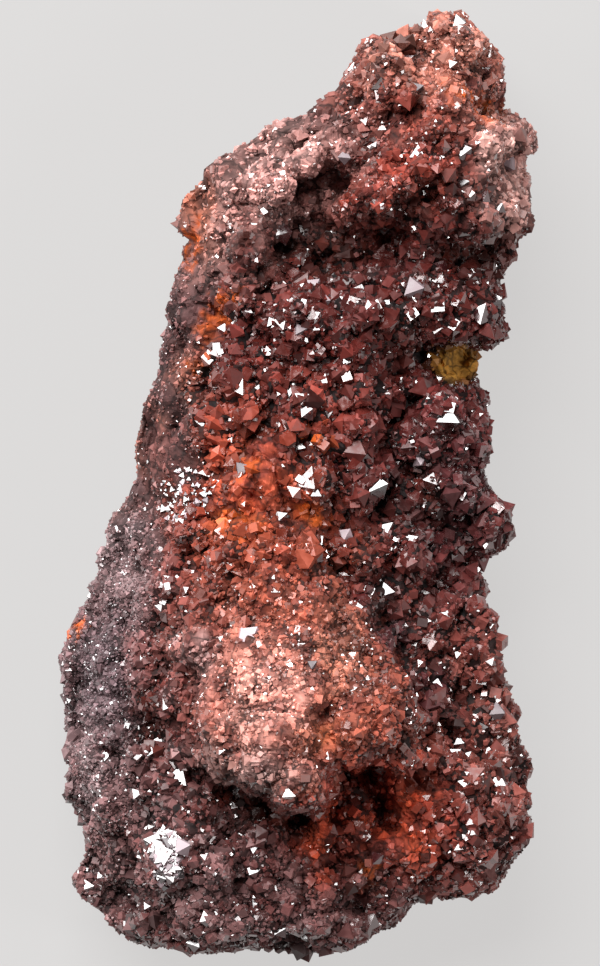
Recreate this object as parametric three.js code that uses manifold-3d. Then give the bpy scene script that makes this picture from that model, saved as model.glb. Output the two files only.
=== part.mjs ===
// A cuprite specimen: a lump of iron-stained ore grown over with dark red octahedral crystals.
// It lies on its broken back. x runs across the crystal face to the right, y along the lump from its
// foot to its tip, and z up from the surface that it rests on. All sizes are in millimetres.
import * as THREE from "three";
import { mergeVertices } from "three/addons/utils/BufferGeometryUtils.js";
import Module from "manifold-3d";

// Driving dimensions of the lump
const FOOT_Y = -23.45;
const TIP_Y = 23.85;
const LEFT_RIM_HEIGHT = 4.6; // where the lump is widest, seen from above
const RIGHT_RIM_HEIGHT = 5.2;
const BACK_DEPTH = -1.5; // the back bulges this far below the plane that it is broken along
const BACK_HOLLOWS = 1.9; // depth of the hollows in the broken back
const BACK_HOLLOW_WIDTH = 7.5;
const BACK_SLICE = 0.5; // the height at which the cells of space give the back its hollows
const CRYSTAL_ROOM = 0.3; // the outline is that of the crystals, so the lump is this much smaller
const END_ROOM = 0.5; // and this much shorter at its foot and at its tip
const END_ROUNDING = 1.8; // length over which the foot and the tip round off
const END_THINNING = 0.9; // share of the height that is gone at the very end
const FRONT_WALL_CURVE = 0.5; // below 1 the wall rises steeply before it turns into the front
const BACK_WALL_CURVE = 0.95;

// Angular chunks all over the surface, split by cracks: [size, height]
const CHUNKS = [
  [5.4, 2.0],
  [2.7, 1.7],
  [1.35, 0.9],
];
const CHUNK_FACES = 3; // pairs of flat faces on a chunk
const CHUNK_STEEPNESS = 1.3;
const CHUNK_LEVEL = 0.5; // the share of a chunk's height at which the surface itself lies
const RIM_ROUGHNESS = 0.35; // share of the height that chunks keep where the surface faces sideways

// Fineness of the faceted body
const FRONT_STEPS = 27;
const BACK_STEPS = 7;
const RINGS = 42;

// Outline seen from above, as [y, x] from the foot to the tip
const leftRim = [
  [-23.95, -4.55], [-23.55, -6.2], [-22.95, -7.8], [-22.3, -9.0], [-21.55, -9.9], [-20.8, -10.7],
  [-20.0, -11.45], [-19.1, -11.2], [-18.05, -10.8], [-16.8, -11.1], [-15.55, -11.55], [-13.8, -11.8],
  [-10.8, -12.05], [-9.4, -11.9], [-8.3, -11.6], [-6.6, -10.85], [-4.8, -10.15], [-3.9, -9.7],
  [-3.1, -9.3], [-2.4, -9.5], [-1.55, -9.25], [-0.8, -8.7], [0.3, -8.3], [1.8, -8.4], [3.3, -8.2],
  [4.2, -7.8], [4.8, -7.35], [5.6, -7.0], [7.2, -6.9], [9.3, -6.4], [10.45, -6.3], [11.6, -5.95],
  [12.2, -5.5], [12.9, -5.65], [13.95, -5.8], [14.7, -5.6], [15.3, -5.25], [15.7, -4.9], [16.3, -3.7],
  [17.2, -2.65], [17.7, -2.0], [18.1, -0.45], [19.3, 1.45], [19.8, 2.2], [20.5, 2.55], [21.2, 2.8],
  [22.0, 3.2], [22.3, 3.55], [22.6, 5.4], [22.95, 6.2], [23.85, 6.4],
];
const rightRim = [
  [-23.95, -0.3], [-23.7, 1.1], [-23.2, 2.1], [-22.7, 3.45], [-22.2, 5.1], [-21.05, 6.45], [-20.6, 7.6],
  [-20.1, 10.0], [-19.1, 11.2], [-17.8, 11.85], [-16.05, 11.5], [-14.8, 11.5], [-14.0, 11.7],
  [-13.5, 11.65], [-13.1, 11.15], [-11.1, 10.75], [-9.3, 10.2], [-7.05, 9.95], [-5.55, 9.4],
  [-4.55, 9.15], [-3.8, 9.1], [-3.55, 9.5], [-2.8, 10.55], [-2.3, 10.75], [-1.65, 10.75],
  [-1.05, 10.35], [-0.4, 10.05], [1.2, 9.7], [2.95, 9.95], [4.3, 9.8], [4.8, 9.4], [5.4, 9.15],
  [6.9, 9.1], [7.15, 10.35], [7.7, 10.6], [9.4, 10.65], [10.9, 10.6], [11.5, 11.0], [12.4, 11.1],
  [13.1, 11.9], [14.2, 12.0], [15.2, 11.85], [17.1, 11.95], [17.7, 11.7], [18.1, 11.05], [18.6, 10.5],
  [19.7, 10.4], [21.5, 9.95], [22.0, 9.6], [22.85, 8.9], [23.4, 8.6], [23.85, 8.25],
];

// Landmarks of the front, as [x, y, height above the resting plane]
const landmarks = {
  tip: [
    [7.5, 23.2, 9.8], [8.6, 21.9, 11.2], [9.7, 21.1, 8.2], [4.3, 21.8, 9.4], [4.7, 20.7, 11.2],
    [5.9, 22.4, 7.2], [6.5, 21.6, 7.4], [6.9, 20.8, 8.2], [8.1, 20.2, 9.6], [2.7, 19.7, 8.0],
    [5.2, 19.6, 11.4], [5.6, 18.3, 10.4], [7.7, 18.7, 12.2], [9.9, 18.8, 9.6],
  ],
  shoulder: [
    [-2.5, 16.8, 6.5], [0.2, 16.7, 9.2], [2.5, 17.7, 9.6], [-4.8, 14.6, 6.2], [-2.8, 13.9, 9.4],
    [-0.8, 14.2, 11.6], [0.4, 16.0, 11.0], [2.9, 16.4, 11.6],
  ],
  head: [
    [3.8, 17.2, 10.8], [6.7, 16.9, 13.0], [9.7, 16.6, 12.8], [11.2, 15.9, 10.0], [4.6, 15.6, 12.6],
    [5.4, 14.8, 14.2], [6.6, 15.3, 14.2], [6.0, 13.9, 12.2], [7.9, 14.4, 14.0], [10.7, 13.9, 10.8],
    [3.1, 14.0, 13.4], [4.2, 13.7, 13.4], [7.0, 12.9, 12.6], [9.0, 12.8, 12.8],
  ],
  cavityUnderHead: [
    [0.9, 15.0, 8.4], [2.1, 15.0, 7.8], [1.2, 14.0, 8.2], [0.2, 13.0, 8.2], [1.6, 12.7, 7.8],
    [3.0, 12.4, 7.4], [4.4, 12.3, 7.6], [-0.3, 11.9, 8.2], [1.7, 11.4, 8.2], [3.2, 11.2, 8.0],
    [4.7, 11.3, 8.8], [-0.2, 10.7, 8.6], [1.6, 10.2, 9.6], [3.2, 10.0, 10.0], [6.2, 11.6, 10.6],
    [7.6, 11.4, 9.2], [9.2, 11.6, 9.0],
  ],
  upperFront: [
    [-5.5, 11.7, 6.0], [-4.0, 11.7, 9.8], [-2.2, 11.7, 12.0], [-1.4, 10.2, 10.4], [1.2, 9.5, 11.6],
    [6.7, 10.2, 12.0], [9.0, 10.2, 11.6], [10.3, 9.9, 9.0], [-4.5, 8.9, 9.8], [-2.5, 8.7, 11.8],
    [0.2, 8.4, 12.6], [2.7, 8.4, 12.2], [5.2, 9.2, 11.6], [7.7, 8.4, 11.8], [9.7, 8.0, 10.4],
  ],
  ochreNotch: [[7.2, 6.2, 7.2], [8.6, 6.1, 5.6]],
  middle: [
    [-6.4, 6.7, 6.2], [-5.0, 5.7, 9.8], [-3.3, 5.7, 11.8], [-0.3, 5.7, 12.0], [2.7, 5.7, 12.0],
    [5.2, 5.6, 9.8], [-7.5, 2.7, 5.4], [-6.3, 2.7, 8.4], [-4.8, 2.7, 11.6], [-2.8, 2.7, 12.0],
    [0.2, 2.7, 12.2], [3.2, 2.7, 11.4], [5.6, 3.4, 9.6], [4.8, 1.6, 9.8],
    [7.6, 3.0, 11.0], [8.8, 3.6, 9.4],
  ],
  lowerFront: [
    [-7.8, -0.3, 5.6], [-6.5, -0.3, 8.6], [-5.0, -0.3, 11.6], [-2.8, -0.3, 12.6], [0.2, -0.3, 12.2],
    [2.7, -0.3, 11.0], [5.2, -0.8, 9.6], [7.7, -0.8, 10.4], [9.6, -1.8, 9.0], [8.0, -2.5, 9.2],
  ],
  waist: [
    [-8.8, -3.3, 5.4], [-7.5, -3.3, 8.8], [-5.5, -3.3, 12.0], [-2.8, -3.3, 13.6], [0.2, -3.3, 13.2],
    [2.7, -3.5, 11.2], [5.2, -3.9, 9.4], [7.5, -4.5, 7.4], [8.7, -4.3, 6.0],
  ],
  boss: [
    [-4.4, -6.4, 13.6], [-1.8, -6.0, 14.4], [0.9, -6.2, 14.6], [2.6, -6.6, 14.0], [-4.4, -8.2, 14.6],
    [-2.0, -8.2, 15.5], [0.6, -8.2, 15.8], [2.8, -8.2, 15.0], [3.8, -8.6, 14.4], [-3.9, -10.2, 15.4],
    [-2.0, -10.2, 16.4], [0.4, -10.2, 16.4], [2.6, -10.0, 15.8], [4.8, -10.3, 15.0],
    [-3.9, -12.2, 16.2], [-1.8, -12.2, 17.2], [0.2, -12.2, 17.0], [1.4, -11.7, 15.2],
    [2.8, -12.2, 16.0], [4.4, -12.0, 15.4], [5.5, -11.6, 14.4], [5.2, -12.9, 14.0], [-3.5, -13.4, 16.2],
    [-1.8, -14.0, 17.4], [0.2, -14.3, 17.2], [-0.4, -14.9, 16.6], [0.8, -15.2, 16.4],
    [1.3, -13.4, 15.4], [2.8, -13.2, 15.2],
  ],
  rightFlank: [
    [3.2, -5.2, 11.0], [4.4, -6.6, 10.4], [5.6, -8.2, 9.8], [6.6, -10.6, 9.6], [6.7, -12.4, 9.8],
    [6.2, -6.4, 9.0], [8.4, -6.8, 7.8], [7.4, -9.0, 8.8], [8.9, -10.3, 8.0], [8.0, -12.6, 9.4],
    [10.2, -12.8, 8.2], [7.5, -14.8, 9.8], [9.7, -15.6, 9.6], [10.9, -16.6, 8.4], [9.2, -18.1, 9.2],
    [7.2, -19.3, 8.6],
  ],
  leftFlank: [
    [-10.3, -6.4, 5.8], [-8.8, -6.4, 9.0], [-6.8, -6.4, 12.0], [-11.1, -9.3, 5.8], [-9.6, -9.3, 9.4],
    [-7.3, -9.4, 11.0], [-5.4, -10.0, 12.2], [-11.3, -12.6, 5.8], [-9.6, -12.6, 9.6],
    [-7.5, -12.6, 10.2], [-5.4, -12.6, 11.2], [-10.9, -15.8, 5.8], [-9.4, -15.8, 9.2],
    [-7.3, -15.6, 11.0], [-5.0, -15.6, 11.2],
  ],
  hollowsUnderBoss: [
    [-4.8, -14.7, 10.4], [-3.3, -15.4, 8.8], [-1.6, -16.1, 8.0], [0.2, -16.8, 8.2], [-1.6, -17.7, 9.2],
    [0.2, -18.0, 9.4], [2.5, -14.5, 8.2], [2.0, -15.8, 8.0], [3.7, -14.5, 7.8], [4.2, -15.8, 7.6],
    [2.9, -16.4, 9.4], [5.3, -15.2, 10.6], [6.3, -15.9, 10.4], [5.5, -16.5, 10.0], [4.4, -16.9, 7.8],
    [3.2, -17.4, 9.6], [4.6, -17.9, 10.2], [6.0, -18.4, 9.8], [1.1, -17.7, 10.0], [2.2, -18.5, 8.4],
    [3.5, -19.3, 10.2],
  ],
  foot: [
    [-10.3, -18.8, 5.2], [-8.8, -18.6, 7.8], [-6.5, -18.4, 10.6], [-4.3, -18.9, 10.6],
    [-1.8, -19.2, 9.8], [0.7, -19.4, 10.2], [4.9, -19.6, 9.2], [-9.3, -20.8, 5.8],
    [-7.0, -21.4, 8.4], [-4.8, -21.4, 10.0], [-2.3, -21.4, 10.2], [0.7, -21.6, 9.8],
    [3.2, -21.1, 8.6], [5.7, -20.4, 7.0], [-5.3, -23.2, 7.6], [-2.5, -23.2, 8.0], [0.2, -23.0, 6.8],
  ],
};

// Places where the chunks stand out less, as [x, y, radius in x, radius in y, share that is gone]
const calmPlaces = [
  [-0.6, -10.4, 5.4, 5.4, 0.75], [4.2, -16.4, 2.6, 2.4, 0.6], [4.6, 14.2, 2.6, 1.6, 0.5],
  [-7.2, 3.4, 1.6, 6.0, 0.6], [-9.6, -19.8, 2.2, 2.2, 0.7],
];

// The largest crystals of the front, as [x, y, edge of the octahedron]
const largeCrystals = [
  [7.5, 3.3, 1.5], [-0.3, 4.7, 1.1], [4.0, 0.0, 1.5], [-0.1, 1.9, 1.3], [6.2, 1.3, 1.1], [5.8, 9.7, 1.2],
  [7.1, 10.8, 1.1], [9.9, 9.2, 1.1], [9.0, 8.4, 1.3], [9.1, -1.4, 1.2], [-3.6, 7.7, 1.2],
  [-4.7, 3.1, 1.1], [-2.6, 0.7, 1.2], [6.9, -9.9, 1.2], [0.9, -3.5, 1.1], [-2.4, -7.5, 1.6],
  [-5.8, -14.8, 1.7], [-9.4, -13.4, 1.1], [10.1, -14.9, 1.2], [10.0, -11.3, 1.1], [-0.7, 12.6, 1.3],
  [6.0, 16.2, 1.2], [8.2, 16.4, 1.2], [8.1, 14.8, 1.2], [2.4, 16.2, 1.4], [6.0, 19.6, 1.3],
  [10.6, 15.9, 1.1], [4.5, 21.9, 1.4], [-2.1, -18.0, 1.1],
];

// Crystals between the large ones
const FRONT_CRYSTALS = 175; // spread evenly over the front
const SIDE_CRYSTALS = 70; // spread round the whole lump
const CRYSTAL_EDGE = [0.95, 1.65]; // smallest and largest edge
const CRYSTAL_SPACING = 1.1; // no two of them grow closer together than this
const STANDING_OUT = -0.3; // how far a crystal's centre is above the surface, as a share of its reach
const FLOOR_ROOM = 0.1; // a crystal keeps this far off the resting plane
const TIP_OVERHANG = 0.1; // and reaches at most this far past the tip

// The block under the resting plane, which cuts the broken back flat where it touches
const FLOOR_BLOCK_WIDTH = 80;
const FLOOR_BLOCK_DEPTH = 12;

const wasm = await Module();
wasm.setup();

// A repeatable random number from 0 to 1 for a place in space, and the shifts that give one place
// several numbers that have nothing to do with each other
const Y_SHIFT = 31;
const Z_SHIFT = 47;
const FACE_SHIFT = 7;
function scatter(x, y, z) {
  const n = Math.sin(x * 127.1 + y * 311.7 + z * 74.7) * 43758.5453;
  return n - Math.floor(n);
}

// The value of a line of [place, value] points at a place
function along(line, place) {
  const next = line.findIndex(([p]) => p >= place);
  if (next === 0) return line[0][1];
  if (next < 0) return line[line.length - 1][1];
  const [p0, v0] = line[next - 1];
  const [p1, v1] = line[next];
  return v0 + ((v1 - v0) * (place - p0)) / (p1 - p0);
}

// Height of the front at (x, y): the nearest landmarks count most, so it steps between them in ledges
const allLandmarks = Object.values(landmarks).flat();
const LANDMARK_SOFTNESS = 0.5; // rounds the top of each landmark
const LANDMARK_PULL = 4.4; // a landmark's weight falls with this power of the distance
function frontHeight(x, y) {
  let sum = 0;
  let weights = 0;
  for (const [lx, ly, height] of allLandmarks) {
    const distance2 = (x - lx) ** 2 + (y - ly) ** 2 + LANDMARK_SOFTNESS ** 2;
    const weight = distance2 ** (-LANDMARK_PULL / 2);
    sum += weight * height;
    weights += weight;
  }
  return sum / weights;
}

// The middle of the cell of space that a point is nearest to, and how the point lies from it, both as
// shares of the cell size
function nearestMiddle(point, cell) {
  const scaled = point.clone().divideScalar(cell);
  const corner = scaled.clone().floor();
  let nearest = { distance2: Infinity };
  for (let i = -1; i <= 1; i++)
    for (let j = -1; j <= 1; j++)
      for (let k = -1; k <= 1; k++) {
        const [cx, cy, cz] = [corner.x + i, corner.y + j, corner.z + k];
        const apart = new THREE.Vector3(
          cx + scatter(cx, cy, cz),
          cy + scatter(cx + Y_SHIFT, cy, cz),
          cz + scatter(cx, cy + Z_SHIFT, cz),
        ).sub(scaled);
        const distance2 = apart.lengthSq();
        if (distance2 < nearest.distance2) nearest = { distance2, apart, seed: [cx, cy, cz] };
      }
  return nearest;
}

// 1 at the peak of an angular chunk, falling along flat faces to the cracks round it
function chunk(point, cell) {
  const { apart, seed } = nearestMiddle(point, cell);
  const [cx, cy, cz] = seed;
  let reach = 0;
  for (let face = 0; face < CHUNK_FACES; face++) {
    const at = (axis) => scatter(cx + FACE_SHIFT * face + axis, cy, cz) - 0.5;
    const facing = new THREE.Vector3(at(0), at(1), at(2)).normalize();
    reach = Math.max(reach, Math.abs(facing.dot(apart)));
  }
  return Math.max(0, 1 - CHUNK_STEEPNESS * reach);
}

// Share of their height that the chunks keep at (x, y)
function liveliness(x, y) {
  let gone = 0;
  for (const [placeX, placeY, radiusX, radiusY, share] of calmPlaces)
    gone += share * Math.exp(-(((x - placeX) / radiusX) ** 2) - ((y - placeY) / radiusY) ** 2);
  return 1 - gone;
}

// Height of the broken back, which has shallow hollows in it
function backHeight(x, y) {
  const { distance2 } = nearestMiddle(new THREE.Vector3(x, y, BACK_SLICE), BACK_HOLLOW_WIDTH);
  return BACK_DEPTH + BACK_HOLLOWS * Math.max(0, 1 - distance2);
}

// A point of the smooth lump: turn goes round it from the right rim over the front, 0 to 2 pi
function lumpPoint(turn, y) {
  const left = along(leftRim, y) + CRYSTAL_ROOM;
  const right = along(rightRim, y) - CRYSTAL_ROOM;
  const across = Math.cos(turn);
  const x = (left + right) / 2 + ((right - left) / 2) * across;
  const rim = LEFT_RIM_HEIGHT + (RIGHT_RIM_HEIGHT - LEFT_RIM_HEIGHT) * (0.5 + across / 2);
  const front = turn <= Math.PI;
  const curve = front ? FRONT_WALL_CURVE : BACK_WALL_CURVE;
  const rise = Math.abs(Math.sin(turn)) ** curve;
  const fromEnd = Math.min((y - FOOT_Y) / END_ROUNDING, (TIP_Y - y) / END_ROUNDING, 1);
  const rounding = Math.sqrt(1 - END_THINNING * (1 - fromEnd) ** 2);
  const level = front ? frontHeight(x, y) : backHeight(x, y);
  return new THREE.Vector3(x, y, rim + (level - rim) * rise * rounding);
}

// The closed surface of the lump, ring by ring, with its chunks raised along its normals
function lumpGeometry() {
  const turns = [];
  for (let i = 0; i < FRONT_STEPS; i++) turns.push((Math.PI * i) / FRONT_STEPS);
  for (let i = 0; i < BACK_STEPS; i++) turns.push(Math.PI * (1 + i / BACK_STEPS));
  const points = [];
  for (let ring = 0; ring <= RINGS; ring++) {
    const y = FOOT_Y + END_ROOM + ((TIP_Y - FOOT_Y - 2 * END_ROOM) * ring) / RINGS;
    for (const turn of turns) points.push(lumpPoint(turn, y));
  }
  const faces = [];
  const round = turns.length;
  for (let ring = 0; ring < RINGS; ring++)
    for (let i = 0; i < round; i++) {
      const a = ring * round + i;
      const b = ring * round + ((i + 1) % round);
      faces.push(a, a + round, b, b, a + round, b + round);
    }
  for (const ring of [0, RINGS]) {
    const centre = new THREE.Vector3();
    for (let i = 0; i < round; i++) centre.addScaledVector(points[ring * round + i], 1 / round);
    points.push(centre);
    for (let i = 0; i < round; i++) {
      const a = ring * round + i;
      const b = ring * round + ((i + 1) % round);
      if (ring === 0) faces.push(points.length - 1, a, b);
      else faces.push(points.length - 1, b, a);
    }
  }
  const geometry = new THREE.BufferGeometry().setFromPoints(points);
  geometry.setIndex(faces);
  geometry.computeVertexNormals();
  const normals = geometry.attributes.normal;
  points.forEach((point, n) => {
    const normal = new THREE.Vector3().fromBufferAttribute(normals, n);
    let raised = 0;
    for (const [size, height] of CHUNKS) raised += height * (chunk(point, size) - CHUNK_LEVEL);
    raised *= RIM_ROUGHNESS + (1 - RIM_ROUGHNESS) * normal.z ** 2;
    raised *= liveliness(point.x, point.y);
    geometry.attributes.position.setXYZ(n, ...point.clone().addScaledVector(normal, raised));
  });
  geometry.computeVertexNormals();
  return geometry;
}

// A closed geometry as a solid that can be joined and cut
function solid(geometry) {
  const bare = geometry.clone();
  bare.deleteAttribute("normal");
  bare.deleteAttribute("uv");
  const merged = mergeVertices(bare, 1e-4);
  return new wasm.Manifold(
    new wasm.Mesh({
      numProp: 3,
      vertProperties: merged.attributes.position.array,
      triVerts: new Uint32Array(merged.index.array),
    }),
  );
}

// One octahedral crystal, turned at random for its place
function crystal(place, edge) {
  const reach = edge / Math.SQRT2;
  const turned = new THREE.Euler(
    2 * Math.PI * scatter(place.x, place.y, 1),
    2 * Math.PI * scatter(place.x, place.y, 2),
    2 * Math.PI * scatter(place.x, place.y, 3),
  );
  const matrix = new THREE.Matrix4().makeRotationFromEuler(turned).setPosition(place);
  return solid(new THREE.OctahedronGeometry(reach).applyMatrix4(matrix));
}

// Every crystal that stands on the lump
function crystals(lump) {
  const made = [];
  const places = [];
  const positions = lump.attributes.position;
  const normals = lump.attributes.normal;
  const stand = (n, edge) => {
    const place = new THREE.Vector3().fromBufferAttribute(positions, n);
    const normal = new THREE.Vector3().fromBufferAttribute(normals, n);
    const reach = edge / Math.SQRT2;
    place.addScaledVector(normal, reach * STANDING_OUT);
    if (place.z < reach + FLOOR_ROOM || place.y > TIP_Y - reach + TIP_OVERHANG) return;
    if (places.some((other) => other.distanceTo(place) < CRYSTAL_SPACING)) return;
    places.push(place);
    made.push(crystal(place, edge));
  };
  const frontMost = (x, y) => {
    let best = 0;
    let nearest = Infinity;
    for (let n = 0; n < positions.count; n++) {
      const apart = Math.hypot(positions.getX(n) - x, positions.getY(n) - y);
      if (normals.getZ(n) > 0 && apart < nearest) [best, nearest] = [n, apart];
    }
    return best;
  };
  for (const [x, y, edge] of largeCrystals) stand(frontMost(x, y), edge);
  const [smallest, largest] = CRYSTAL_EDGE;
  const anyEdge = (k) => smallest + (largest - smallest) * scatter(k, 9, 2) ** 2;
  for (let k = 0; k < FRONT_CRYSTALS; k++) {
    const y = FOOT_Y + (TIP_Y - FOOT_Y) * scatter(k, 3, 6);
    const left = along(leftRim, y);
    const x = left + (along(rightRim, y) - left) * scatter(k, 4, 7);
    stand(frontMost(x, y), anyEdge(k));
  }
  for (let k = 0; k < SIDE_CRYSTALS; k++) {
    const n = Math.floor(positions.count * scatter(k, 5, 8));
    stand(n, anyEdge(k + FRONT_CRYSTALS));
  }
  return made;
}

function floorBlock() {
  const block = new THREE.BoxGeometry(FLOOR_BLOCK_WIDTH, FLOOR_BLOCK_WIDTH, FLOOR_BLOCK_DEPTH);
  return solid(block.translate(0, 0, -FLOOR_BLOCK_DEPTH / 2));
}

function specimen() {
  const lump = lumpGeometry();
  let joined = solid(lump);
  for (const grown of crystals(lump)) joined = joined.add(grown);
  const { vertProperties, triVerts } = joined.subtract(floorBlock()).getMesh();
  const geometry = new THREE.BufferGeometry();
  geometry.setAttribute("position", new THREE.BufferAttribute(vertProperties, 3));
  geometry.setIndex(new THREE.BufferAttribute(triVerts, 1));
  geometry.computeVertexNormals();
  const material = new THREE.MeshStandardMaterial({
    color: 0x5c2c28,
    roughness: 0.35,
    metalness: 0.1,
  });
  const mesh = new THREE.Mesh(geometry, material);
  mesh.name = "cuprite_specimen";
  return mesh;
}

const part = new THREE.Group();
part.add(specimen());

export default part;
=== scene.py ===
import math
from itertools import count

import bpy
import numpy as np
from mathutils import Matrix, Vector
from mathutils.bvhtree import BVHTree


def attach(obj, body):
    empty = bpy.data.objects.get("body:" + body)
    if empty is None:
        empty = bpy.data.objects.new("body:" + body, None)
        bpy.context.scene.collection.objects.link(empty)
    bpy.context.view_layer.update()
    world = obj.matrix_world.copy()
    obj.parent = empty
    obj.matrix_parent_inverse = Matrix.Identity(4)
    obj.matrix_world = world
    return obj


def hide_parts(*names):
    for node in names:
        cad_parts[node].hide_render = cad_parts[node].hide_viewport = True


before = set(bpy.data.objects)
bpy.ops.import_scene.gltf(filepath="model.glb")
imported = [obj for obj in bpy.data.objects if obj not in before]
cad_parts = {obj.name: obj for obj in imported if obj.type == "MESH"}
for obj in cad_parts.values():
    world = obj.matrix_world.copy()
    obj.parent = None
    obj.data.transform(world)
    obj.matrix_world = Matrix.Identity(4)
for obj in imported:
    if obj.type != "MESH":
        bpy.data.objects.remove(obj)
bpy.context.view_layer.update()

# The lump of ore
# Iron-stained ore that the crystals grew on, one natural piece that broke off along its back and
# lies on that broken face. Ledges and hollows listed below give its form, in millimetres, with x
# across the crystal face, y from the foot to the tip and z up.
MM = 0.001
FOOT_Y = -23.45
TIP_Y = 23.85
LEFT_RIM_HEIGHT = 4.6
RIGHT_RIM_HEIGHT = 5.2
BACK_DEPTH = -1.5
BACK_HOLLOWS = 1.9
BACK_HOLLOW_WIDTH = 7.5
BACK_HOLLOW_LEVEL = 0.5
CRYSTAL_ROOM = 0.3
END_ROOM = 0.5
END_ROUNDING = 1.8
END_THINNING = 0.9
FRONT_WALL_CURVE = 0.5
BACK_WALL_CURVE = 0.95
LANDMARK_SOFTNESS = 0.5
LANDMARK_PULL = 4.4
FRONT_STEPS = 216
BACK_STEPS = 54
RINGS = 330

# Angular chunks that the ore is broken into, as how wide they are and how far they stand out
CHUNKS = [(5.4, 2.0), (2.7, 1.7), (1.35, 1.1), (0.7, 0.45)]
CHUNK_FACES = 3
CHUNK_STEEPNESS = 1.3
CHUNK_LEVEL = 0.5
RIM_ROUGHNESS = 0.35

# The outline seen from above, as y and x from the foot to the tip
left_rim = [
    [-23.95, -4.55], [-23.55, -6.2], [-22.95, -7.8], [-22.3, -9.0], [-21.55, -9.9], [-20.8, -10.7],
    [-20.0, -11.45], [-19.1, -11.2], [-18.05, -10.8], [-16.8, -11.1], [-15.55, -11.55], [-13.8, -11.8],
    [-10.8, -12.05], [-9.4, -11.9], [-8.3, -11.6], [-6.6, -10.85], [-4.8, -10.15], [-3.9, -9.7],
    [-3.1, -9.3], [-2.4, -9.5], [-1.55, -9.25], [-0.8, -8.7], [0.3, -8.3], [1.8, -8.4], [3.3, -8.2],
    [4.2, -7.8], [4.8, -7.35], [5.6, -7.0], [7.2, -6.9], [9.3, -6.4], [10.45, -6.3], [11.6, -5.95],
    [12.2, -5.5], [12.9, -5.65], [13.95, -5.8], [14.7, -5.6], [15.3, -5.25], [15.7, -4.9], [16.3, -3.7],
    [17.2, -2.65], [17.7, -2.0], [18.1, -0.45], [19.3, 1.45], [19.8, 2.2], [20.5, 2.55], [21.2, 2.8],
    [22.0, 3.2], [22.3, 3.55], [22.6, 5.4], [22.95, 6.2], [23.85, 6.4],
]
right_rim = [
    [-23.95, -0.3], [-23.7, 1.1], [-23.2, 2.1], [-22.7, 3.45], [-22.2, 5.1], [-21.05, 6.45],
    [-20.6, 7.6], [-20.1, 10.0], [-19.1, 11.2], [-17.8, 11.85], [-16.05, 11.5], [-14.8, 11.5],
    [-14.0, 11.7],
    [-13.5, 11.65], [-13.1, 11.15], [-11.1, 10.75], [-9.3, 10.2], [-7.05, 9.95], [-5.55, 9.4],
    [-4.55, 9.15], [-3.8, 9.1], [-3.55, 9.5], [-2.8, 10.55], [-2.3, 10.75], [-1.65, 10.75],
    [-1.05, 10.35], [-0.4, 10.05], [1.2, 9.7], [2.95, 9.95], [4.3, 9.8], [4.8, 9.4], [5.4, 9.15],
    [6.9, 9.1], [7.15, 10.35], [7.7, 10.6], [9.4, 10.65], [10.9, 10.6], [11.5, 11.0], [12.4, 11.1],
    [13.1, 11.9], [14.2, 12.0], [15.2, 11.85], [17.1, 11.95], [17.7, 11.7], [18.1, 11.05], [18.6, 10.5],
    [19.7, 10.4], [21.5, 9.95], [22.0, 9.6], [22.85, 8.9], [23.4, 8.6], [23.85, 8.25],
]

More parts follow.
